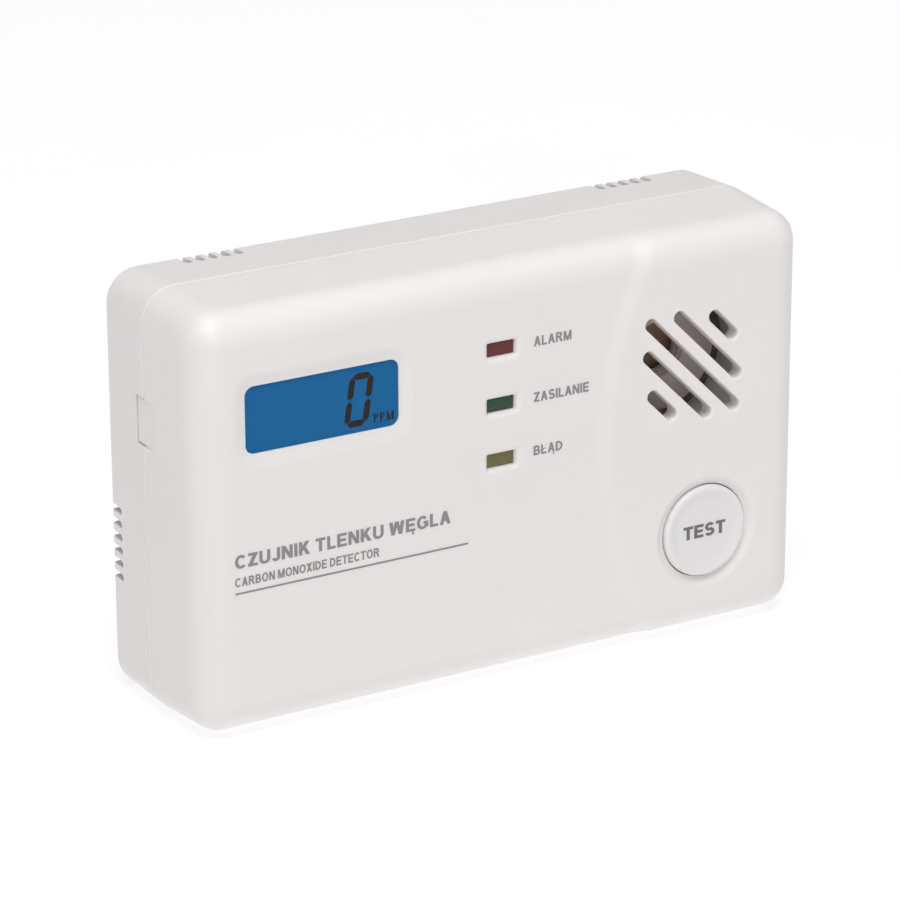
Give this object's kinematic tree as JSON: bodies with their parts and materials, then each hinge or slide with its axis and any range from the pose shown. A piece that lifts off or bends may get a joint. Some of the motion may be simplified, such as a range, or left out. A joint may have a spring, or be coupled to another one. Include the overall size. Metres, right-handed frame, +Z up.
{
  "type": "carbon monoxide alarm",
  "caption": "Battery-powered carbon monoxide alarm for a wall or shelf, with a display, indicator lamps, sounder grille and test button.",
  "frame": {"origin": "middle of the footprint, on the surface the alarm stands on", "axes": "+X to the right of the front face, +Y to the back, +Z up"},
  "size_m": [0.115, 0.0316, 0.072],
  "materials": {
    "case": "fine satin moulded ABS, off-white",
    "window": "clear polished acrylic",
    "display": "blue display glass",
    "dark_plastic": "moulded dark plastic",
    "white_plastic": "milky white plastic",
    "contact_rubber": "layered conductive rubber",
    "red_lamp": "tinted red epoxy",
    "green_lamp": "tinted green epoxy",
    "yellow_lamp": "tinted yellow epoxy",
    "board": "brown phenolic laminate with a clear mask",
    "plated_metal": "nickel-plated steel",
    "cell_jacket": "printed film jacket",
    "brass_disc": "dull brass with a ceramic layer"
  },
  "bodies": {
    "case": {"front_cover": "case", "rear_cover": "case", "display_window": "window", "display_holder": "dark_plastic", "display_glass": "display", "display_light_guide": "white_plastic", "display_contact_strip": "contact_rubber", "alarm_lamp": "red_lamp", "power_lamp": "green_lamp", "fault_lamp": "yellow_lamp", "lamp_spacer": "white_plastic", "button_switch": "dark_plastic", "circuit_board": "board", "microcontroller": "dark_plastic", "timing_crystal": "plated_metal", "storage_capacitor": "dark_plastic", "sounder_coil": "dark_plastic", "gas_sensor": "plated_metal", "gas_sensor_filter": "white_plastic", "sounder": "white_plastic", "sounder_disc": "brass_disc", "cell_top": "cell_jacket", "contact_plate_top": "plated_metal", "contact_spring_top": "plated_metal", "cell_middle": "cell_jacket", "contact_plate_middle": "plated_metal", "contact_spring_middle": "plated_metal", "cell_bottom": "cell_jacket", "contact_plate_bottom": "plated_metal", "contact_spring_bottom": "plated_metal", "case_screw_top_left": "plated_metal", "case_screw_bottom_left": "plated_metal", "case_screw_top_right": "plated_metal", "case_screw_bottom_right": "plated_metal", "board_screw_1": "plated_metal", "board_screw_2": "plated_metal", "board_screw_3": "plated_metal", "board_screw_4": "plated_metal"},
    "test_button": {"test_button": "case", "switch_plunger": "white_plastic"},
    "battery_door": {"battery_door": "case"}
  },
  "joints": [
    {"name": "test_button_press", "type": "slide", "parent": "case", "child": "test_button", "axis": [0, 1, 0], "range_m": [0, 0.0008], "stiffness_N_per_m": 2500, "springref_m": -0.0006},
    {"name": "battery_door_swing", "type": "hinge", "parent": "case", "child": "battery_door", "pos_m": [-0.0393, 0.0158, 0.036], "axis": [0, 0, 1], "range_deg": [0, 75]}
  ]
}
